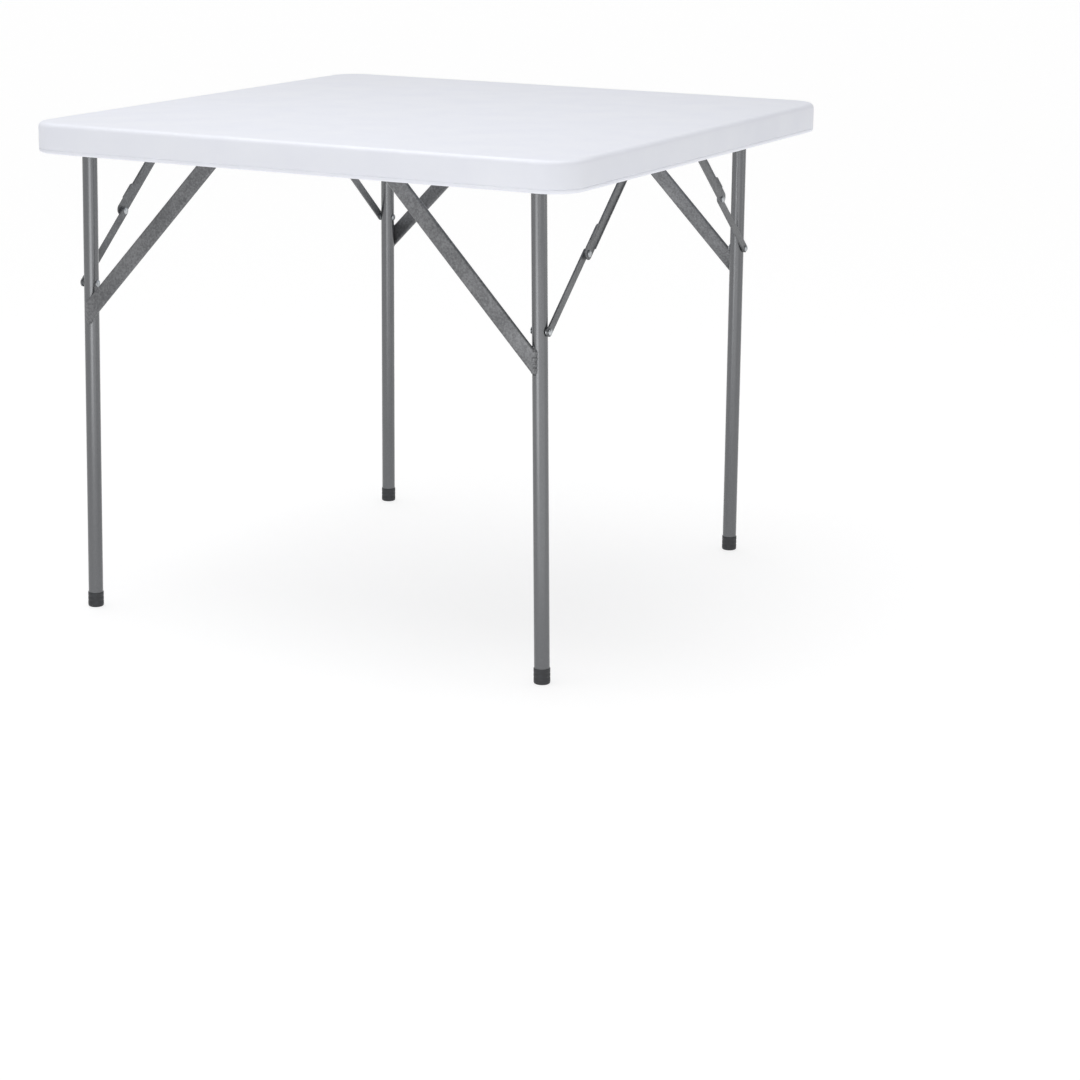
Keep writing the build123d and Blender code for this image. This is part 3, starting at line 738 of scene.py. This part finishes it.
def makePowderCoat(name, colours):
    finish, tree, place, shader = newFinish(name, {"Metallic": colours["metal"]})
    flake = grain(tree, place, powderCoat["flakeMm"], detail=2.0, roughness=0.7)
    drift = grain(tree, place, powderCoat["driftMm"])
    mottle = addNode(
        tree, "ShaderNodeMath", {"operation": "MULTIPLY_ADD", 1: powderCoat["flakeShare"]},
        {0: flake, 2: between(tree, drift, 0.0, powderCoat["driftShare"])}).outputs[0]
    mottle = between(tree, mottle, 0, 1, *powderCoat["mottleSpan"])
    tree.links.new(
        twoColours(tree, mottle, colours["shade"], colours["base"]), shader.inputs["Base Color"])
    tree.links.new(between(tree, flake, *colours["roughness"]), shader.inputs["Roughness"])
    peel = grain(tree, place, powderCoat["peelMm"], detail=1.0)
    tree.links.new(bump(tree, peel, *colours["peelBump"]), shader.inputs["Normal"])
    return finish


# Bright zinc plate on steel rivets and screws: pale, slightly blue, brushed by handling
zinc = {
    "base": "#C4C7C9", "shade": "#A6AAAD", "roughness": (0.26, 0.42), "patchMm": 4,
    "rubMm": 1.5, "rubBump": (0.2, 0.05),
}


def makeZinc():
    finish, tree, place, shader = newFinish("zincPlatedSteel", {"Metallic": 1.0})
    patch = grain(tree, place, zinc["patchMm"], detail=4.0)
    tree.links.new(
        twoColours(tree, between(tree, patch, 0, 1), zinc["base"], zinc["shade"]),
        shader.inputs["Base Color"])
    tree.links.new(between(tree, patch, *zinc["roughness"]), shader.inputs["Roughness"])
    rub = grain(tree, place, zinc["rubMm"], detail=2.0)
    tree.links.new(bump(tree, rub, *zinc["rubBump"]), shader.inputs["Normal"])
    return finish


# Black low-density polyethylene caps and black nylon bushes: matt, faintly grained mouldings
blackPlastic = {
    "cap": {"base": "#2B2C2F", "shade": "#34363A", "roughness": (0.48, 0.62), "ior": 1.51},
    "bush": {"base": "#1F2022", "shade": "#292A2D", "roughness": (0.38, 0.50), "ior": 1.53},
    "grainMm": 1.6, "grainBump": (0.3, 0.1), "scuffMm": 9, "scuffSpan": (0.45, 0.7),
}


def makeBlackPlastic(name, colours):
    finish, tree, place, shader = newFinish(name, {"IOR": colours["ior"]})
    scuff = grain(tree, place, blackPlastic["scuffMm"], detail=5.0, roughness=0.65)
    scuffed = between(tree, scuff, 0, 1, *blackPlastic["scuffSpan"])
    tree.links.new(
        twoColours(tree, scuffed, colours["base"], colours["shade"]), shader.inputs["Base Color"])
    tree.links.new(between(tree, scuff, *colours["roughness"]), shader.inputs["Roughness"])
    fine = grain(tree, place, blackPlastic["grainMm"], detail=2.0)
    tree.links.new(bump(tree, fine, *blackPlastic["grainBump"]), shader.inputs["Normal"])
    return finish


finishes = {
    "moulded_top": makeHdpe(),
    "leg_steel": makePowderCoat("powderCoatedLegs", powderCoat["leg"]),
    "frame_steel": makePowderCoat("powderCoatedTube", powderCoat["frame"]),
    "stay_steel": makePowderCoat("powderCoatedStays", powderCoat["stay"]),
    "zinc_fasteners": makeZinc(),
    "foot_plastic": makeBlackPlastic("polyethyleneCaps", blackPlastic["cap"]),
    "bush_plastic": makeBlackPlastic("nylonBushes", blackPlastic["bush"]),
}


def paint(pieces, finish):
    for piece in pieces:
        if not piece.material_slots:
            piece.data.materials.append(finish)
        for place in piece.material_slots:
            place.material = finish


# the leg tubes have a smoother coat than the rest of their slot
for part in frame["record"]["subparts"]:
    node, kind = part["node"], part["material_slot"]
    if "_leg_" in node and "rivet" not in node:
        kind = "leg_steel"
    paint([frame["nodes"][node]], finishes[kind])
paint([panel], finishes["moulded_top"])
paint(caps, finishes["foot_plastic"])
paint(upperLinks, finishes["stay_steel"])
paint(braceTubes + welds, finishes["frame_steel"])
print("finishes:", len(finishes))


# Floor, light and camera

# The world fades from the horizon's strength to the zenith's over bandHeight. Every light hangs at its
# place and looks at the aim. A softbox that is sheenOnly shines in the tubes and lights nothing else.
studio = {
    "floorSize": 80,
    "floorColour": "#959595",
    "floorRoughness": 0.9,
    "floorGlow": 0.74,
    "horizon": 0.98,
    "zenith": 0.25,
    "bandHeight": 0.35,
    "aim": (0, 0, 0.5),
    "sky": {"strength": 1.5, "spread": 60, "from": (-0.20, 0.10, 1.0)},
    "overhead": {"size": (1.4, 1.0), "watts": 10, "place": (-0.1, -0.6, 2.3)},
    "key": {"size": (2.2, 2.2), "watts": 15, "place": (1.8, -3.0, 1.4)},
    "strip": {"size": (0.6, 0.6), "watts": 1.7, "place": (0.2, -1.38, 0.37), "sheenOnly": True},
    "fill": {"size": (2.0, 0.5), "watts": 1.2, "place": (0.5, -0.85, 0.27), "sheenOnly": True},
    "edge": {"size": (0.8, 1.2), "watts": 3, "place": (3.2, 0.8, 0.8)},
}


def makeFloor():
    deselectAll()
    bpy.ops.mesh.primitive_plane_add(size=studio["floorSize"])
    floor = bpy.context.object
    floor.name = "studioFloor"
    finish, _, _, shader = newFinish("paleFloor", {"Roughness": studio["floorRoughness"]})
    shader.inputs["Base Color"].default_value = linear(studio["floorColour"])
    shader.inputs["Emission Color"].default_value = (1, 1, 1, 1)
    shader.inputs["Emission Strength"].default_value = studio["floorGlow"]
    floor.data.materials.append(finish)


def hangLight(data, place):
    light = bpy.data.objects.new(data.name, data)
    bpy.context.scene.collection.objects.link(light)
    light.visible_camera = False
    light.location = place
    aim = Vector(studio["aim"]) - light.location
    light.rotation_euler = aim.to_track_quat("-Z", "Y").to_euler()
    return light


def makeSky(settings):
    # one wide, soft light from above, so that the floor is evenly lit out to the horizon
    data = bpy.data.lights.new("skyLight", "SUN")
    data.energy = settings["strength"]
    data.angle = math.radians(settings["spread"])
    hangLight(data, Vector(studio["aim"]) + Vector(settings["from"]))


def makeSoftbox(name, settings):
    data = bpy.data.lights.new(name, "AREA")
    data.shape = "RECTANGLE"
    data.size, data.size_y = settings["size"]
    data.energy = settings["watts"]
    light = hangLight(data, settings["place"])
    light.visible_diffuse = not settings.get("sheenOnly", False)


def makeWorld():
    # a white sweep: as bright as the floor at the horizon, darker overhead
    world = bpy.data.worlds.new("studioWorld")
    world.use_nodes = True
    tree = world.node_tree
    direction = addNode(tree, "ShaderNodeTexCoord", {}).outputs["Generated"]
    height = addNode(tree, "ShaderNodeSeparateXYZ", {}, {"Vector": direction}).outputs["Z"]
    fade = between(tree, height, studio["horizon"], studio["zenith"], 0, studio["bandHeight"])
    tree.nodes["Background"].inputs["Color"].default_value = (1, 1, 1, 1)
    tree.links.new(fade, tree.nodes["Background"].inputs["Strength"])
    bpy.context.scene.world = world


# The camera was fitted to the photograph: angles in degrees, place in metres, focal length in pixels
cameraView = {
    "place": (2.053, -3.602, 1.195), "yaw": 27.97, "pitch": 12.99, "roll": 0.44,
    "focalPixels": 2717, "axisPixel": (520, 432), "framePixels": 1080, "sensor": 36, "sees": 200,
}


def makeCamera():
    data = bpy.data.cameras.new("photoCamera")
    frameSide = cameraView["framePixels"]
    data.sensor_width = cameraView["sensor"]
    data.lens = cameraView["focalPixels"] / frameSide * cameraView["sensor"]
    data.clip_end = cameraView["sees"]
    # the photograph is cropped off its lens axis, so the frame is shifted a little
    axisX, axisY = cameraView["axisPixel"]
    data.shift_x = 0.5 - axisX / frameSide
    data.shift_y = axisY / frameSide - 0.5
    yaw, pitch, roll = (math.radians(cameraView[name]) for name in ("yaw", "pitch", "roll"))
    ahead = Vector((
        -math.sin(yaw) * math.cos(pitch), math.cos(yaw) * math.cos(pitch), -math.sin(pitch)))
    right = ahead.cross(Vector((0, 0, 1))).normalized()
    up = right.cross(ahead)
    across = right * math.cos(roll) + up * math.sin(roll)
    above = up * math.cos(roll) - right * math.sin(roll)
    turn = Matrix((across, above, -ahead)).transposed()
    camera = bpy.data.objects.new("photoCamera", data)
    camera.matrix_world = Matrix.Translation(cameraView["place"]) @ turn.to_4x4()
    bpy.context.scene.collection.objects.link(camera)
    bpy.context.scene.camera = camera


makeFloor()
makeWorld()
makeSky(studio["sky"])
for lightName in ("overhead", "key", "strip", "fill", "edge"):
    makeSoftbox(lightName + "Softbox", studio[lightName])
makeCamera()
bpy.context.scene.view_settings.view_transform = "Standard"
print("studio and camera set")
